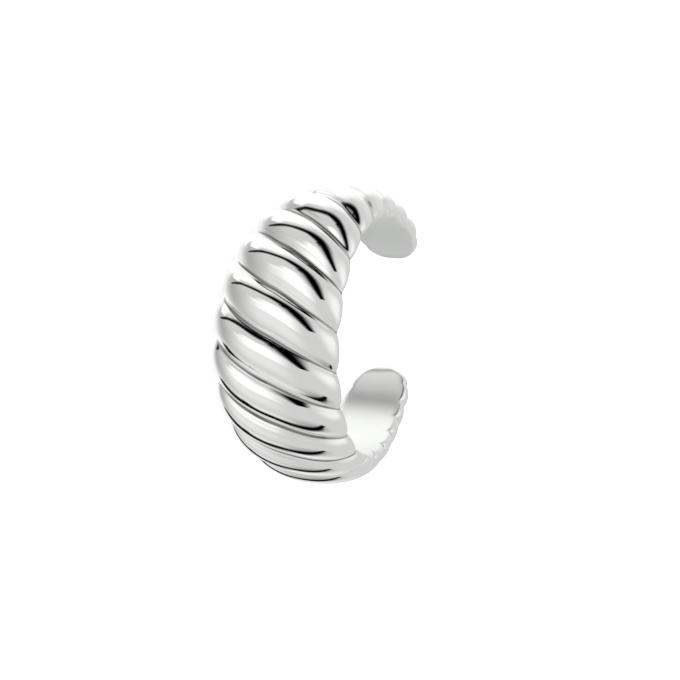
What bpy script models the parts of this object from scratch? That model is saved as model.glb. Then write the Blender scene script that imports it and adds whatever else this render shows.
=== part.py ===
"""Ear cuff: one piece of polished silver, an open band with a twisted, ribbed back.

Lengths are metres, angles degrees. The band is worked out round its own bore, with the bore's axis
along Z, the front at -X and the mouth between the two tails at +X. It is then laid on its side as
it rests by itself, with +Z up and the origin on the floor, under the middle of its box.
"""

import math

import bmesh
import bpy
import numpy as np
from mathutils import Matrix, Vector

MM = 0.001

# The open round of the band
BORE_DIAMETER = 9.8 * MM
MOUTH_ANGLE = 54.2

# The band's section: flat inside, domed outside, its sides rounded under to the inner face
FRONT_WIDTH = 5.79 * MM
TAIL_WIDTH = 2.59 * MM
FRONT_THICKNESS = 1.63 * MM
TAIL_THICKNESS = 1.20 * MM
SIDE_HEIGHT = 0.24 * MM
SIDE_TUCK = 0.22 * MM
TAPER_SHARE = 1.08
DOME_FULLNESS = 2.2
DOME_RISE_RATIO = 1.19

# The tails: rounded ends, each a little to one side of the band's middle
TIP_LENGTH = 1.19 * MM
TIP_UNDERSIDE = 0.41 * MM
TAIL_OFFSET = 0.36 * MM

# The ribs: rounded, each leaning a little over the next one, crossing the band askew. They are
# square to it and closer together at the tails.
RIB_COUNT = 21
RIB_CROWDING_RATIO = 0.21
RIB_TWIST_ANGLE = 31.3
RIB_BEND_RATIO = 0.44
RIB_LEAN_RATIO = 0.18
RIB_DEPTH = 0.44 * MM
RIB_SIDE_DEPTH = 0.23 * MM
RIB_SHOULDER_DEPTH = 0.18 * MM
RIB_SHALLOWING_RATIO = 0.50
RIB_FULLNESS = 2.1
RIB_SIDE_FULLNESS = 0.45

# How finely the surface is divided
STEPS_PER_RIB = 7
STEPS_OVER_DOME = 22
STEPS_ROUND_SIDE = 2
STEPS_ACROSS_INSIDE = 5


def way_along(rib):
    """Place along the band, -1 at one tail's end to 1 at the other's, for a count of ribs.

    The count is 0 at the front and RIB_COUNT / 2 at a tail's end. It follows a straight line with
    a share of a cube mixed in, so the ribs crowd towards the tails.
    """
    way = np.linspace(-1.0, 1.0, 2001)
    crowded = RIB_CROWDING_RATIO
    count = RIB_COUNT / 2 * ((1 - crowded) * way + crowded * way**3)
    return np.interp(rib, count, way)


def rounded_end(distance, length):
    """1 further than length from a tail's end, falling to 0 at it as a quarter of a circle does."""
    share = np.clip(distance / length, 0.0, 1.0)
    return np.sqrt(1.0 - (1.0 - share) ** 2)


def groove(rib, turn):
    """0 on the back of a rib and 1 in the crease to the next one, in two steepening slopes.

    On top of the dome the back lies to one side of the rib's middle, so each rib leans there.
    """
    from_middle = 2.0 * (rib - np.round(rib))
    over = np.clip(turn, 0.0, math.pi)
    lean = RIB_LEAN_RATIO * np.sin(over) ** 2
    from_back = np.abs((from_middle + lean) / (1.0 + lean * from_middle))
    return from_back ** (RIB_FULLNESS + RIB_SIDE_FULLNESS * np.cos(over) ** 2)


def askew(turn):
    """How far forward a rib's line lies at a place over the dome, 0.5 at one side, -0.5 at the other.

    It is a straight slope with a share of a cosine mixed in, so a rib runs steeply in the middle
    of the band and bends round to the side at both of its ends.
    """
    over = np.clip(turn, 0.0, math.pi)
    straight = 0.5 - over / math.pi
    return (1.0 - RIB_BEND_RATIO) * straight + RIB_BEND_RATIO / 2 * np.cos(over)


def section(rib, turn):
    """The band's skin at a count of ribs along it and a turn round its section.

    A turn of 0 is one side's widest line, a quarter turn is the top of the dome and a half turn is
    the other side's widest line. Below 0 and past the half turn the side tucks in under itself to
    the flat inner face. Returns the angle round the bore, the place across the band and the height
    over the inner face.
    """
    way = way_along(rib)
    half_span = math.radians(360.0 - MOUTH_ANGLE) / 2
    twist = math.radians(RIB_TWIST_ANGLE) * (1.0 - way**2)
    angle = half_span * way + twist * askew(turn)

    tapered = np.clip(np.abs(angle / half_span) / TAPER_SHARE, 0.0, 1.0)
    taper = np.cos(math.pi / 2 * tapered) ** 2
    width = TAIL_WIDTH + (FRONT_WIDTH - TAIL_WIDTH) * taper
    thickness = TAIL_THICKNESS + (FRONT_THICKNESS - TAIL_THICKNESS) * taper
    to_end = (1.0 - np.abs(way)) * half_span * BORE_DIAMETER / 2
    end = rounded_end(to_end, TIP_LENGTH)
    underside = rounded_end(to_end, TIP_UNDERSIDE)

    on_dome = (turn >= 0.0) & (turn <= math.pi)
    across, up = np.cos(turn), np.abs(np.sin(turn))
    crease = groove(rib, turn) * (1.0 - RIB_SHALLOWING_RATIO * way**2)
    shoulder = RIB_SHOULDER_DEPTH * np.sin(2.0 * turn) ** 2 * across**6
    side_depth = np.where(on_dome, RIB_SIDE_DEPTH + shoulder, RIB_SIDE_DEPTH * (1.0 - 0.4 * up))
    half_width = (width / 2 - crease * side_depth) * end
    height = thickness - crease * (RIB_DEPTH + shoulder) - SIDE_HEIGHT

    fullness = 2.0 / DOME_FULLNESS
    tuck = np.minimum(SIDE_TUCK, half_width)
    dome_across = half_width * np.sign(across) * np.abs(across) ** fullness
    side_across = np.sign(across) * (half_width - tuck) + tuck * across
    dome_height = SIDE_HEIGHT + height * end**0.8 * up**DOME_RISE_RATIO
    side_height = SIDE_HEIGHT * (1.0 - underside * up)
    offset = TAIL_OFFSET * np.sign(way) * np.abs(way) ** 1.1
    return (
        angle,
        np.where(on_dome, dome_across, side_across) - offset,
        np.where(on_dome, dome_height, side_height),
    )


def closed_loops():
    """The skin's points as one closed loop for each step along the band, and its two end points.

    A loop runs round one side, over the dome and round the other side, then back across the flat
    inner face, where it is straight from edge to edge on the bore. Creases fall on whole steps.
    """
    steps = RIB_COUNT * STEPS_PER_RIB
    rib = np.linspace(-RIB_COUNT / 2, RIB_COUNT / 2, steps + 1)
    quarter = math.pi / 2
    near_side = np.linspace(-quarter, 0.0, STEPS_ROUND_SIDE + 1)[:-1]
    dome = np.linspace(0.0, math.pi, STEPS_OVER_DOME + 1)
    far_side = np.linspace(math.pi, math.pi + quarter, STEPS_ROUND_SIDE + 1)[1:]
    turn = np.concatenate([near_side, dome, far_side])
    skin = np.stack(section(*np.meshgrid(rib, turn, indexing="ij")))

    back = np.linspace(0.0, 1.0, STEPS_ACROSS_INSIDE + 1)[1:-1]
    first, last = skin[:, :, :1], skin[:, :, -1:]
    loops = np.concatenate([skin, last + (first - last) * back], axis=2)

    angle, across, height = loops
    radius = BORE_DIAMETER / 2 + height
    points = np.stack([-radius * np.cos(angle), -radius * np.sin(angle), across], axis=2)
    return points[1:-1], points[0, 0], points[-1, 0]


def middle_of(mesh):
    """The centre of mass of a closed mesh of triangles, as a sum of cones from the origin."""
    corners = np.array([[vert.co for vert in face.verts] for face in mesh.faces])
    cones = np.einsum("ij,ij->i", corners[:, 0], np.cross(corners[:, 1], corners[:, 2]))
    return Vector((corners.sum(axis=1) * cones[:, None]).sum(axis=0) / (4.0 * cones.sum()))


def laid_down(mesh):
    """The move that lays the mesh on the floor, on the side that faces down.

    Of the flat faces of the hull round the mesh that look nearly down, the band comes to rest on
    the one nearest to its centre of mass.
    """
    hull = bmesh.new()
    for vert in mesh.verts:
        hull.verts.new(vert.co)
    bmesh.ops.convex_hull(hull, input=hull.verts)
    bmesh.ops.recalc_face_normals(hull, faces=hull.faces)
    hull.normal_update()
    middle = middle_of(mesh)
    down = Vector((0.0, 0.0, -1.0))
    under = [face for face in hull.faces if face.normal.dot(down) > math.cos(math.radians(30.0))]
    seat = min(under, key=lambda face: face.normal.dot(face.verts[0].co - middle))
    turn = seat.normal.rotation_difference(down).to_matrix()
    hull.free()

    turned = np.array([turn @ vert.co for vert in mesh.verts])
    low, high = turned.min(axis=0), turned.max(axis=0)
    place = Vector((-(low[0] + high[0]) / 2, -(low[1] + high[1]) / 2, -low[2]))
    return Matrix.Translation(place) @ turn.to_4x4()


def band_mesh():
    """The band as one closed mesh of triangles, laid on the floor."""
    loops, first_end, last_end = closed_loops()
    steps, around, _ = loops.shape
    mesh = bmesh.new()
    verts = [mesh.verts.new(point) for point in loops.reshape(-1, 3)]
    first_tip = mesh.verts.new(first_end)
    last_tip = mesh.verts.new(last_end)
    rings = [verts[step * around : (step + 1) * around] for step in range(steps)]
    for here, there in zip(rings, rings[1:]):
        for side in range(around):
            mesh.faces.new([here[side - 1], there[side - 1], there[side], here[side]])
    for side in range(around):
        mesh.faces.new([rings[0][side - 1], rings[0][side], first_tip])
        mesh.faces.new([rings[-1][side], rings[-1][side - 1], last_tip])
    bmesh.ops.triangulate(mesh, faces=mesh.faces)
    bmesh.ops.recalc_face_normals(mesh, faces=mesh.faces)
    mesh.transform(laid_down(mesh))

    data = bpy.data.meshes.new("cuff_band")
    mesh.to_mesh(data)
    mesh.free()
    data.shade_smooth()
    data.set_sharp_from_angle(angle=math.radians(50.0))
    return data


def polished_silver():
    material = bpy.data.materials.new("polished_silver")
    material.use_nodes = True
    shader = material.node_tree.nodes["Principled BSDF"]
    shader.inputs["Base Color"].default_value = (0.93, 0.92, 0.90, 1.0)
    shader.inputs["Metallic"].default_value = 1.0
    shader.inputs["Roughness"].default_value = 0.08
    return material


for old in list(bpy.data.objects):
    bpy.data.objects.remove(old)

cuff_band = bpy.data.objects.new("cuff_band", band_mesh())
cuff_band.data.materials.append(polished_silver())
bpy.context.scene.collection.objects.link(cuff_band)
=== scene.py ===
import math

import bpy
import numpy as np
from mathutils import Matrix, Vector


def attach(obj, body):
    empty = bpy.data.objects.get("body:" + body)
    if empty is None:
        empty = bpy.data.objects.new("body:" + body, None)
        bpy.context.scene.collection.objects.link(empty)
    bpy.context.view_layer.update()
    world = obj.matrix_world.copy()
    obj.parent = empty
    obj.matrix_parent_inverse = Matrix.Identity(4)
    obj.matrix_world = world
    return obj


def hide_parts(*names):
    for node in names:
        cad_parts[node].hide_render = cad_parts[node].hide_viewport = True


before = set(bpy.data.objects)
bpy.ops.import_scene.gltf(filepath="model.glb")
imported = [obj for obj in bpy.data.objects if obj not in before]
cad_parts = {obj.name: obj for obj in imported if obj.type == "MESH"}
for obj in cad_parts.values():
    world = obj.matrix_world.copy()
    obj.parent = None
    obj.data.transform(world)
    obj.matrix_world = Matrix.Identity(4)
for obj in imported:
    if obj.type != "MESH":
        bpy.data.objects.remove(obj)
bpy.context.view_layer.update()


# The cuff: one open band of sterling silver, cast in one piece with its ribs, filed and then
# polished on a wheel. Smooth and flat inside, domed and ribbed outside. It lies on its side.
MM = 0.001

BORE_DIAMETER = 9.8 * MM
MOUTH_ANGLE = 54.2
FRONT_WIDTH = 5.79 * MM
TAIL_WIDTH = 2.59 * MM
FRONT_THICKNESS = 1.63 * MM
TAIL_THICKNESS = 1.20 * MM
SIDE_HEIGHT = 0.24 * MM
SIDE_TUCK = 0.22 * MM
TAPER_SHARE = 1.08
DOME_FULLNESS = 2.2
DOME_RISE_RATIO = 1.19

TIP_LENGTH = 1.19 * MM
TIP_UNDERSIDE = 0.41 * MM
TIP_FULLNESS = 0.8
TAIL_OFFSET = 0.36 * MM
OFFSET_EASING = 1.1

RIB_COUNT = 21
RIB_CROWDING_RATIO = 0.21
RIB_TWIST_ANGLE = 31.3
RIB_BEND_RATIO = 0.44
RIB_LEAN_RATIO = 0.18
RIB_DEPTH = 0.44 * MM
RIB_SIDE_DEPTH = 0.23 * MM
RIB_SHOULDER_DEPTH = 0.18 * MM
RIB_SHOULDER_POWER = 6
RIB_SHALLOWING_RATIO = 0.50
RIB_TUCK_RATIO = 0.4
RIB_FULLNESS = 2.1
RIB_SIDE_FULLNESS = 0.45
CREASE_SHARE = 0.12

# Which way is down as it lies on its side, in the band's own axes.
DOWNWARD = (0.150851, 0.037835, -0.987832)

# How finely the surface is divided: the shorter steps near a crease are a share of a sine.
STEPS_PER_RIB = 32
SHORTER_STEPS_SHARE = 0.6
STEPS_IN_LAST_RIB = 26
STEPS_OVER_DOME = 64
STEPS_ROUND_SIDE = 6
STEPS_ACROSS_INSIDE = 14


def way_along(rib):
    """-1 at one tail's end to 1 at the other's. The rib count is RIB_COUNT / 2 times the way, a
    share of which is its cube instead, so ribs crowd towards the tails."""
    way = np.linspace(-1.0, 1.0, 4001)
    crowded = RIB_CROWDING_RATIO
    count = RIB_COUNT / 2 * ((1 - crowded) * way + crowded * way**3)
    return np.interp(rib, count, way)


def rounded_end(distance, length):
    """A quarter of a circle: the root of 1 minus (1 minus distance / length) squared."""
    share = np.clip(distance / length, 0.0, 1.0)
    return np.sqrt(1.0 - (1.0 - share) ** 2)


def groove(rib, turn):
    """Twice the distance from the nearest rib's back, to a power that grows towards the sides.

    On top of the dome the back leans off the rib's middle: the lean is added to the distance, and
    the sum divided by 1 plus their product, which leaves the creases where they are. In the very
    crease a parabola rounds the edge between one rib and the next.
    """
    from_middle = 2.0 * (rib - np.round(rib))
    over = np.clip(turn, 0.0, math.pi)
    lean = RIB_LEAN_RATIO * np.sin(over) ** 2
    from_back = np.abs((from_middle + lean) / (1.0 + lean * from_middle))
    power = RIB_FULLNESS + RIB_SIDE_FULLNESS * np.cos(over) ** 2
    in_crease = np.clip(CREASE_SHARE - (1.0 - from_back), 0.0, None)
    return from_back**power - power / (2.0 * CREASE_SHARE) * in_crease**2


def askew(turn):
    """A straight slope from 0.5 to -0.5 over the dome, with a share of half a cosine mixed in."""
    over = np.clip(turn, 0.0, math.pi)
    straight = 0.5 - over / math.pi
    return (1.0 - RIB_BEND_RATIO) * straight + RIB_BEND_RATIO / 2 * np.cos(over)


def band_skin(rib, turn):
    """Angle round the bore, place across the band and height over the inner face.

    Over the dome the section is half a superellipse, from one side's widest line at a turn of 0 to
    the other's at a half turn. Below 0 and past the half turn it is a quarter ellipse that tucks in
    to the inner face. Width and thickness fall from front to tail as a squared cosine does, the
    creases cut into both, and the ends close as a quarter circle.
    """
    way = way_along(rib)
    half_span = math.radians(360.0 - MOUTH_ANGLE) / 2
    angle = half_span * way + math.radians(RIB_TWIST_ANGLE) * (1.0 - way**2) * askew(turn)

    tapered = np.clip(np.abs(angle / half_span) / TAPER_SHARE, 0.0, 1.0)
    taper = np.cos(math.pi / 2 * tapered) ** 2
    width = TAIL_WIDTH + (FRONT_WIDTH - TAIL_WIDTH) * taper
    thickness = TAIL_THICKNESS + (FRONT_THICKNESS - TAIL_THICKNESS) * taper
    to_end = (1.0 - np.abs(way)) * half_span * BORE_DIAMETER / 2
    end = rounded_end(to_end, TIP_LENGTH)
    underside = rounded_end(to_end, TIP_UNDERSIDE)

    on_dome = (turn >= 0.0) & (turn <= math.pi)
    across, up = np.cos(turn), np.abs(np.sin(turn))
    crease = groove(rib, turn) * (1.0 - RIB_SHALLOWING_RATIO * way**2)
    shoulder = RIB_SHOULDER_DEPTH * np.sin(2.0 * turn) ** 2 * across**RIB_SHOULDER_POWER
    under_depth = RIB_SIDE_DEPTH * (1.0 - RIB_TUCK_RATIO * up)
    side_depth = np.where(on_dome, RIB_SIDE_DEPTH + shoulder, under_depth)
    half_width = (width / 2 - crease * side_depth) * end
    height = thickness - crease * (RIB_DEPTH + shoulder) - SIDE_HEIGHT

    tuck = np.minimum(SIDE_TUCK, half_width)
    dome_across = half_width * np.sign(across) * np.abs(across) ** (2.0 / DOME_FULLNESS)
    side_across = np.sign(across) * (half_width - tuck) + tuck * across
    dome_height = SIDE_HEIGHT + height * end**TIP_FULLNESS * up**DOME_RISE_RATIO
    side_height = SIDE_HEIGHT * (1.0 - underside * up)
    offset = TAIL_OFFSET * np.sign(way) * np.abs(way) ** OFFSET_EASING
    return (
        angle,
        np.where(on_dome, dome_across, side_across) - offset,
        np.where(on_dome, dome_height, side_height),
    )


def rib_steps():
    """Each rib's middle plus half of a straight line with a share of a sine mixed in, so that
    steps shorten towards the creases, which fall on grid lines. Over the half rib at each tip the
    count nears the end as a square does."""
    along = np.linspace(-1.0, 1.0, STEPS_PER_RIB + 1)[1:]
    sine = np.sin(math.pi / 2 * along)
    offset = 0.5 * ((1 - SHORTER_STEPS_SHARE) * along + SHORTER_STEPS_SHARE * sine)
    last = RIB_COUNT // 2
    ribs = (np.arange(-last, last + 1)[:, None] + offset).ravel()
    inner = ribs[np.abs(ribs) <= last]
    shrinking = RIB_COUNT / 2 - 0.5 * np.linspace(1.0, 0.0, STEPS_IN_LAST_RIB + 1)[1:] ** 2
    return np.concatenate([-shrinking[::-1], inner, shrinking])


# Near the tails' ends the painted shade in the creases is fainter, as the creases are shallow there.
CREASE_SHADE_FADE_SHARE = 0.13


def band_grid():
    """The skin's points on a grid of rib count against turn, each angle, place across and height
    wound round the bore as a circle. Across the inner face a loop runs straight back. With them go
    how deep each point lies in a crease, and 1 on the inner face, 0 on the dome and a squared sine
    between them, round the tucked-in side."""
    rib = rib_steps()
    quarter = math.pi / 2
    near_side = np.linspace(-quarter, 0.0, STEPS_ROUND_SIDE + 1)[:-1]
    dome = np.linspace(0.0, math.pi, STEPS_OVER_DOME + 1)
    far_side = np.linspace(math.pi, math.pi + quarter, STEPS_ROUND_SIDE + 1)[1:]
    turn = np.concatenate([near_side, dome, far_side])
    ribs, turns = np.meshgrid(rib, turn, indexing="ij")
    skin = np.stack(band_skin(ribs, turns))

    back = np.linspace(0.0, 1.0, STEPS_ACROSS_INSIDE + 1)[1:-1]
    first, last = skin[:, :, :1], skin[:, :, -1:]
    angle, across, height = np.concatenate([skin, last + (first - last) * back], axis=2)
    radius = BORE_DIAMETER / 2 + height
    points = np.stack([-radius * np.cos(angle), -radius * np.sin(angle), across], axis=2)

    plain = np.zeros((len(rib), len(back)))
    # The painted crease shade fades towards the tails' ends.
    crease_shade_fade = 1.0 - CREASE_SHADE_FADE_SHARE * way_along(ribs) ** 4
    crease = np.concatenate([groove(ribs, turns) * crease_shade_fade, plain], axis=1)
    inside = np.concatenate([np.clip(-np.sin(turns), 0.0, 1.0) ** 2, plain + 1.0], axis=1)
    return points, crease, inside


def laid_down(points):
    """The points turned by the shortest way that makes DOWNWARD point down, then moved so that the
    middle of their box is over the origin and the lowest of them is on the floor."""
    down = Vector((0.0, 0.0, -1.0))
    turn = np.array(Vector(DOWNWARD).rotation_difference(down).to_matrix())
    turned = points @ turn.T
    low, high = turned.min(axis=0), turned.max(axis=0)
    place = np.array([-(low[0] + high[0]) / 2, -(low[1] + high[1]) / 2, -low[2]])
    return turned + place, Matrix.Translation(place) @ Matrix(turn).to_4x4()


def closed_band(name):
    """The grid as quads, each loop joined to the next and to itself, with a fan of triangles at
    each tail's tip. The crease and inner face values go with the points, for the material."""
    points, crease, inside = band_grid()
    steps, around, _ = points.shape
    rings = np.arange((steps - 2) * around).reshape(steps - 2, around)
    here, there = rings[:-1], rings[1:]
    quads = np.stack([here, np.roll(here, -1, 1), np.roll(there, -1, 1), there], axis=2)
    first_tip = (steps - 2) * around
    fans = []
    for ring, tip, way in ((rings[0], first_tip, 1), (rings[-1], first_tip + 1, -1)):
        fans.append(np.stack([np.full(around, tip), np.roll(ring, -1), ring][::way], axis=1))

    corners = np.concatenate([points[1:-1].reshape(-1, 3), points[[0, -1], 0]])
    placed, move = laid_down(corners)
    mesh = bpy.data.meshes.new(name)
    mesh.from_pydata(placed.tolist(), [], quads.reshape(-1, 4).tolist() + np.concatenate(fans).tolist())
    for label, values in (("crease", crease), ("inside", inside)):
        flat = np.concatenate([values[1:-1].ravel(), values[[0, -1], 0]]).astype(np.float32)
        mesh.attributes.new(label, "FLOAT", "POINT").data.foreach_set("value", flat)
    mesh.shade_smooth()
    return mesh, move


def join(tree, made, inputs):
    """Sets a shader node's inputs: a number or colour as it is, another node's socket by a link."""
    for socket, value in inputs.items():
        if isinstance(value, bpy.types.NodeSocket):
            tree.links.new(value, made.inputs[socket])
        else:
            made.inputs[socket].default_value = value
    return made


def node(tree, kind, inputs=None, **settings):
    """A new shader node of that kind, with its settings and its inputs."""
    made = tree.nodes.new(kind)
    for key, value in settings.items():
        setattr(made, key, value)
    return join(tree, made, inputs or {})


def ramp(tree, value, start, full, low, high, slope="SMOOTHSTEP"):
    """Low up to start, high from full on, and between them an eased or a straight slope."""
    inputs = {0: value, 1: start, 2: full, 3: low, 4: high}
    return node(tree, "ShaderNodeMapRange", inputs, interpolation_type=slope).outputs[0]


def noise(tree, place, per_metre, detail, roughness=0.5):
    """Smooth noise round a half, with that many swells in a unit of the place's length."""
    inputs = {"Vector": place, "Scale": per_metre, "Detail": detail, "Roughness": roughness}
    return node(tree, "ShaderNodeTexNoise", inputs).outputs[0]


def times_plus(tree, value, factor, more):
    """The value times the factor, plus some more."""
    inputs = {0: value, 1: factor, 2: more}
    return node(tree, "ShaderNodeMath", inputs, operation="MULTIPLY_ADD").outputs[0]


# The silver's own colour varies between the first two; the third is painted shade for the creases.
# Each row below holds where the painted shade begins and is full, as a share of the way down a
# crease, and how much of the metal it then covers.
PLAIN_SILVER = (0.945, 0.958, 0.939, 1.0)
BRIGHTEST_SILVER = (0.970, 0.983, 0.964, 1.0)
# Painted shade: a dark colour laid into the creases, and in streaks beside them.
PAINTED_CREASE_SHADE = (0.16, 0.155, 0.15, 1.0)
CREASE_SHADE_START, CREASE_SHADE_FULL, CREASE_SHADE_COVER = 0.79, 0.875, 0.85
PAINTED_STREAKS_START, PAINTED_STREAKS_FULL, PAINTED_STREAKS_COVER = 0.22, 0.62, 0.22

# Streaks of painted shade down a rib's side, how much they drift in a metre along it, and how thin
# they are cut.
SHADE_STREAKS_PER_RIB_SIDE = 15.0
PAINTED_STREAKS_DRIFT = (40.0, 40.0, 40.0)
PAINTED_STREAKS_EDGE, PAINTED_STREAKS_CORE = 0.5, 0.66

# How widely it scatters what it mirrors: under the wheel's hairlines, where the crease shade is
# painted, and on the satin inner face, from its lower tail to its upper one.
FINEST_POLISH, WORST_POLISH = 0.03, 0.075
CREASE_SHADE_DULLNESS = 0.25
LOWER_SATIN, UPPER_SATIN = 0.25, 0.62
LOWER_SATIN_Y, UPPER_SATIN_Y = -1.0 * MM, 3.0 * MM

# Swells to a metre, and how high they stand.
MOTTLE_PER_METRE = 900.0
WAVES_PER_METRE = 700.0
WAVE_HEIGHT = 0.012 * MM
HAIRLINES_PER_METRE = 2600.0
HAIRLINE_HEIGHT = 0.0004 * MM
HAIRLINE_TURN = (0.5, 0.3, 0.9)
HAIRLINE_STRETCH = (0.5, 4.0, 1.5)


def polished_silver():
    """Bright silver, with painted shade in the creases and thin streaks of painted shade beside them,
    stretched along the ribs. The wheel leaves the metal a little wavy, with fine hairlines that
    mostly change how sharply it shines. It doesn't reach the inner face as well, which stays satin,
    the more so towards +Y."""
    material = bpy.data.materials.new("polished_silver")
    material.use_nodes = True
    tree = material.node_tree
    where = node(tree, "ShaderNodeTexCoord").outputs["Object"]
    crease = node(tree, "ShaderNodeAttribute", attribute_name="crease").outputs["Fac"]
    inside = node(tree, "ShaderNodeAttribute", attribute_name="inside").outputs["Fac"]

    # Painted shade in streaks beside the creases, stretched along the ribs.
    down_rib = node(tree, "ShaderNodeCombineXYZ", {"X": crease}).outputs[0]
    streaked_place = node(tree, "ShaderNodeVectorMath", {0: where, 1: PAINTED_STREAKS_DRIFT, 2: down_rib},
                     operation="MULTIPLY_ADD").outputs[0]
    lines = noise(tree, streaked_place, SHADE_STREAKS_PER_RIB_SIDE, 1.0)
    streaks = ramp(tree, lines, PAINTED_STREAKS_EDGE, PAINTED_STREAKS_CORE, 0.0, PAINTED_STREAKS_COVER)
    # Where the painted shade falls: in streaks on the ribs' sides, and in full deep in the creases.
    beside = ramp(tree, crease, PAINTED_STREAKS_START, PAINTED_STREAKS_FULL, 0.0, 1.0, "LINEAR")
    deepest = ramp(tree, crease, CREASE_SHADE_START, CREASE_SHADE_FULL, 0.0, CREASE_SHADE_COVER)
    painted_shade = times_plus(tree, streaks, beside, deepest)

    mottle = noise(tree, where, MOTTLE_PER_METRE, 4.0)
    silver = node(tree, "ShaderNodeMix", {0: mottle, 6: PLAIN_SILVER, 7: BRIGHTEST_SILVER},
                  data_type="RGBA").outputs[2]
    # The silver darkened by the painted crease shade.
    colour = node(tree, "ShaderNodeMix", {0: painted_shade, 6: silver, 7: PAINTED_CREASE_SHADE},
                  data_type="RGBA").outputs[2]

    stretched = node(tree, "ShaderNodeMapping", {"Vector": where, "Rotation": HAIRLINE_TURN,
                     "Scale": HAIRLINE_STRETCH}).outputs[0]
    hairlines = noise(tree, stretched, HAIRLINES_PER_METRE, 5.0, 0.7)
    polish = ramp(tree, hairlines, 0.3, 0.75, FINEST_POLISH, WORST_POLISH, "LINEAR")
    along = node(tree, "ShaderNodeSeparateXYZ", {0: where}).outputs["Y"]
    satin = ramp(tree, along, LOWER_SATIN_Y, UPPER_SATIN_Y, LOWER_SATIN, UPPER_SATIN, "LINEAR")
    # Where the crease shade is painted, the metal also scatters more widely.
    scatter = times_plus(tree, painted_shade, CREASE_SHADE_DULLNESS, times_plus(tree, inside, satin, polish))

    waves = noise(tree, where, WAVES_PER_METRE, 1.0)
    wavy = node(tree, "ShaderNodeBump", {"Height": waves, "Strength": 0.5,
                "Distance": WAVE_HEIGHT}).outputs[0]
    scratched = node(tree, "ShaderNodeBump", {"Height": hairlines, "Strength": 0.25,
                     "Distance": HAIRLINE_HEIGHT, "Normal": wavy}).outputs[0]
    join(tree, tree.nodes["Principled BSDF"], {"Base Color": colour, "Roughness": scatter,
         "Normal": scratched, "Metallic": 1.0})
    return material


band_mesh, band_move = closed_band("silver_band")
band = bpy.data.objects.new("silver_band", band_mesh)
bpy.context.scene.collection.objects.link(band)
band.data.materials.append(polished_silver())
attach(band, "root")
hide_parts("cuff_band")


# The table top: a sheet of white acrylic under the cuff, lit a little from below, which keeps the
# cuff's shadow pale. It isn't part of the object.
TABLE_HALF = 1.5
TABLE_WHITE = (0.90, 0.90, 0.90, 1.0)
TABLE_GLOW = 0.52
GRAINS_PER_METRE = 4000.0
GRAIN_HEIGHT = 0.01 * MM


def flat_sheet(name, half):
    """One square on the floor, from minus to plus the half width both ways."""
    mesh = bpy.data.meshes.new(name)
    corners = [(-half, -half, 0.0), (half, -half, 0.0), (half, half, 0.0), (-half, half, 0.0)]
    mesh.from_pydata(corners, [], [(0, 1, 2, 3)])
    return mesh


def white_acrylic():
    """Matt white with a fine grain, and an even glow that stands for the light from below."""
    material = bpy.data.materials.new("white_acrylic")
    material.use_nodes = True
    tree = material.node_tree
    where = node(tree, "ShaderNodeTexCoord").outputs["Object"]
    grain = noise(tree, where, GRAINS_PER_METRE, 3.0)
    bump = node(tree, "ShaderNodeBump", {"Height": grain, "Strength": 0.1,
                "Distance": GRAIN_HEIGHT}).outputs[0]
    join(tree, tree.nodes["Principled BSDF"], {"Base Color": TABLE_WHITE, "Roughness": 0.9,
         "Normal": bump, "Specular IOR Level": 0.0, "Emission Color": (1.0, 1.0, 1.0, 1.0),
         "Emission Strength": TABLE_GLOW})
    return material


table_top = bpy.data.objects.new("table_top", flat_sheet("table_top", TABLE_HALF))
table_top.data.materials.append(white_acrylic())
bpy.context.scene.collection.objects.link(table_top)
table_top.visible_glossy = False


# Studio cards, bent round the table out of the picture: two strips of black card, which the polished
# metal shows as the dark lines along its ribs, and two lit white panels behind them, which it shows
# as the bright leaf below each line. They aren't part of the object.
CARD_STEPS_ALONG = 60
CARD_STEPS_ACROSS = 12


def bent_card(name, path, feather, reach):
    """A grid on a sphere of that reach round the origin: along it the path of (azimuth, elevation,
    half width) in degrees, and across it an angle from minus to plus the half width, made wider by
    the share that its edges feather out over. The attribute across is 1 at the half width."""
    table = np.array(path, dtype=float)
    share = np.linspace(0.0, len(table) - 1.0, CARD_STEPS_ALONG)
    azimuth, elevation, half = (
        np.radians(np.interp(share, np.arange(len(table)), column)) for column in table.T
    )
    middle = np.stack([np.cos(azimuth) * np.cos(elevation), np.sin(azimuth) * np.cos(elevation),
                       np.sin(elevation)], axis=1)
    aside = np.cross(middle, np.gradient(middle, axis=0))
    aside /= np.linalg.norm(aside, axis=1, keepdims=True)
    across = np.linspace(-1.0, 1.0, CARD_STEPS_ACROSS + 1) * (1.0 + feather)
    angle = half[:, None, None] * across[:, None]
    points = reach * (middle[:, None] * np.cos(angle) + aside[:, None] * np.sin(angle))
    grid = np.arange(len(share) * len(across)).reshape(len(share), len(across))
    quads = np.stack([grid[:-1, :-1], grid[1:, :-1], grid[1:, 1:], grid[:-1, 1:]], axis=2)
    mesh = bpy.data.meshes.new(name)
    mesh.from_pydata(points.reshape(-1, 3).tolist(), [], quads.reshape(-1, 4).tolist())
    spread = np.abs(np.tile(across, len(share))).astype(np.float32)
    mesh.attributes.new("across", "FLOAT", "POINT").data.foreach_set("value", spread)
    return mesh


def feathered_card(name, brightness, feather):
    """An even light of that brightness, which thins out to nothing over the card's edges."""
    material = bpy.data.materials.new(name)
    material.use_nodes = True
    tree = material.node_tree
    across = node(tree, "ShaderNodeAttribute", attribute_name="across").outputs["Fac"]
    cover = ramp(tree, across, 1.0 - feather, 1.0 + feather, 1.0, 0.0)
    shown = node(tree, "ShaderNodeEmission", {"Color": (1.0, 1.0, 1.0, 1.0),
                 "Strength": brightness}).outputs[0]
    clear = node(tree, "ShaderNodeBsdfTransparent").outputs[0]
    mixed = node(tree, "ShaderNodeMixShader", {0: cover, 1: clear, 2: shown}).outputs[0]
    tree.links.new(mixed, tree.nodes["Material Output"].inputs["Surface"])
    material.cycles.emission_sampling = "NONE"
    return material


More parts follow.
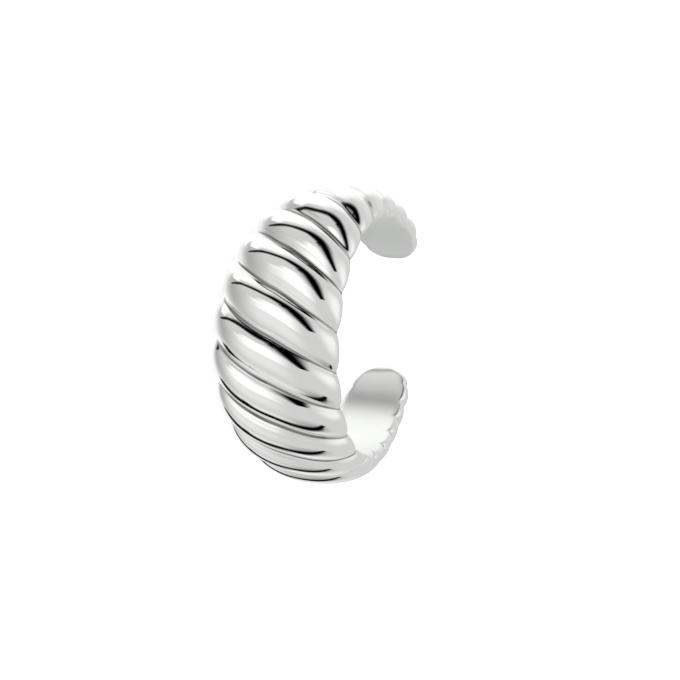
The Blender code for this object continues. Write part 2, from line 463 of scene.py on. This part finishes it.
# Each path is a row of azimuth, elevation and half width, all as seen from the cuff.
FRONT_PANEL = [(-8, -46, 18), (25, -38, 28), (50, -37, 30), (68, -40, 24), (82, -51, 13), (98, -58, 8)]
BACK_PANEL = [(132, -12, 10), (150, -8, 23), (178, -12, 23)]
UPPER_STRIP = [(112, -74, 0.6), (116, -67, 2), (117, -58, 3), (113, -47, 3.5), (109, -33, 4),
               (102, -19, 6), (99, -6, 12), (97, 6, 16), (105, 16, 16), (123, 28, 13.5), (148, 43, 9)]
LOWER_STRIP = [(-96, -66, 5), (-84, -55, 10), (-78, -46, 13), (-81, -38, 13), (-86, -30, 7.5),
               (-88, -21, 9), (-93, -8, 9), (-96, 8, 7), (-100, 20, 5), (-102, 30, 3.5)]
STUDIO_CARDS = (
    # name, path, brightness, share of the half width that an edge feathers over, reach in metres
    ("front_panel", FRONT_PANEL, 1.05, 0.35, 1.2),
    ("back_panel", BACK_PANEL, 1.05, 0.6, 1.2),
    ("upper_strip", UPPER_STRIP, 0.0, 0.6, 1.0),
    ("lower_strip", LOWER_STRIP, 0.0, 0.6, 1.0),
)
for name, path, brightness, feather, reach in STUDIO_CARDS:
    card = bpy.data.objects.new(name, bent_card(name, path, feather, reach))
    card.data.materials.append(feathered_card(name, brightness, feather))
    card.visible_camera = False
    card.visible_diffuse = False
    card.visible_shadow = False
    bpy.context.scene.collection.objects.link(card)


# The light: a tent of white cloth all round, brighter or greyer towards a few sides, and a wide
# round lamp over the table, which whitens it and shows in no reflection. Neither is part of the object.
TENT_LEVEL = 0.65
TENT_PATCHES = (
    # azimuth, elevation, change in level, and the angles from there where it starts and has faded
    (56, 75, 0.29, 8, 46),
    (-26, -70, 0.38, 5, 40),
    (166, -82, -0.24, 5, 50),
    (-100, 6, -0.30, 2, 32),
    (-76, -34, 0.24, 10, 46),
    (-164, -22, 0.17, 8, 42),
    (25, -2, 0.08, 8, 40),
)


def white_tent():
    """One level all round, to which each patch adds its change near its middle, easing to nothing
    with the angle from there. Behind the object the camera sees plain white."""
    world = bpy.data.worlds.new("white_tent")
    world.use_nodes = True
    world.cycles.sampling_method = "NONE"
    tree = world.node_tree
    toward = node(tree, "ShaderNodeTexCoord").outputs["Generated"]
    level = node(tree, "ShaderNodeValue").outputs[0]
    level.default_value = TENT_LEVEL
    for azimuth, elevation, change, near, far in TENT_PATCHES:
        flat = math.cos(math.radians(elevation))
        middle = (math.cos(math.radians(azimuth)) * flat, math.sin(math.radians(azimuth)) * flat,
                  math.sin(math.radians(elevation)))
        facing = node(tree, "ShaderNodeVectorMath", {0: toward, 1: middle}, operation="DOT_PRODUCT")
        angle = node(tree, "ShaderNodeMath", {0: facing.outputs["Value"]}, operation="ARCCOSINE")
        patch = ramp(tree, angle.outputs[0], math.radians(near), math.radians(far), change, 0.0)
        level = node(tree, "ShaderNodeMath", {0: level, 1: patch}, operation="ADD").outputs[0]
    seen = node(tree, "ShaderNodeLightPath").outputs["Is Camera Ray"]
    shown = ramp(tree, seen, 0.0, 1.0, level, 1.0, "LINEAR")
    background = tree.nodes["Background"]
    background.inputs["Color"].default_value = (1.0, 1.0, 1.0, 1.0)
    tree.links.new(shown, background.inputs["Strength"])
    return world


bpy.context.scene.world = white_tent()

LAMP_WIDTH = 0.8
LAMP_HEIGHT = 0.6
LAMP_WATTS = 1.3
lamp = bpy.data.lights.new("wide_lamp", "AREA")
lamp.shape = "DISK"
lamp.size = LAMP_WIDTH
lamp.energy = LAMP_WATTS
wide_lamp = bpy.data.objects.new("wide_lamp", lamp)
wide_lamp.location = (0.0, 0.0, LAMP_HEIGHT)
wide_lamp.visible_glossy = False
bpy.context.scene.collection.objects.link(wide_lamp)


# The camera: a long lens, so that the picture has almost no perspective. It looks down at the
# cuff's front from its upper side, turned so that the cuff stands upright in the picture.
CAMERA_RIGHT = Vector((0.6139, 0.0100, 0.7894))
CAMERA_BACK = Vector((-0.7722, 0.2154, 0.5978))
CAMERA_DISTANCE = 0.25
PICTURE_WIDTH = 28.08 * MM
SENSOR_WIDTH = 36.0
AIM_RIGHT_OF_BORE = 0.096 * MM
AIM_BELOW_BORE = 0.342 * MM
back = CAMERA_BACK.normalized()
right = (CAMERA_RIGHT - CAMERA_RIGHT.dot(back) * back).normalized()
above = back.cross(right)
bore_middle = band_move @ Vector((0.0, 0.0, 0.0))
aim = bore_middle + right * AIM_RIGHT_OF_BORE - above * AIM_BELOW_BORE
lens = bpy.data.cameras.new("camera")
lens.sensor_width = SENSOR_WIDTH
lens.lens = SENSOR_WIDTH * CAMERA_DISTANCE / PICTURE_WIDTH
lens.clip_start, lens.clip_end = 0.01, 10.0
camera = bpy.data.objects.new("camera", lens)
turn = Matrix((right, above, back)).transposed().to_4x4()
camera.matrix_world = Matrix.Translation(aim + back * CAMERA_DISTANCE) @ turn
bpy.context.scene.collection.objects.link(camera)
bpy.context.scene.camera = camera
bpy.context.scene.view_settings.view_transform = "Standard"
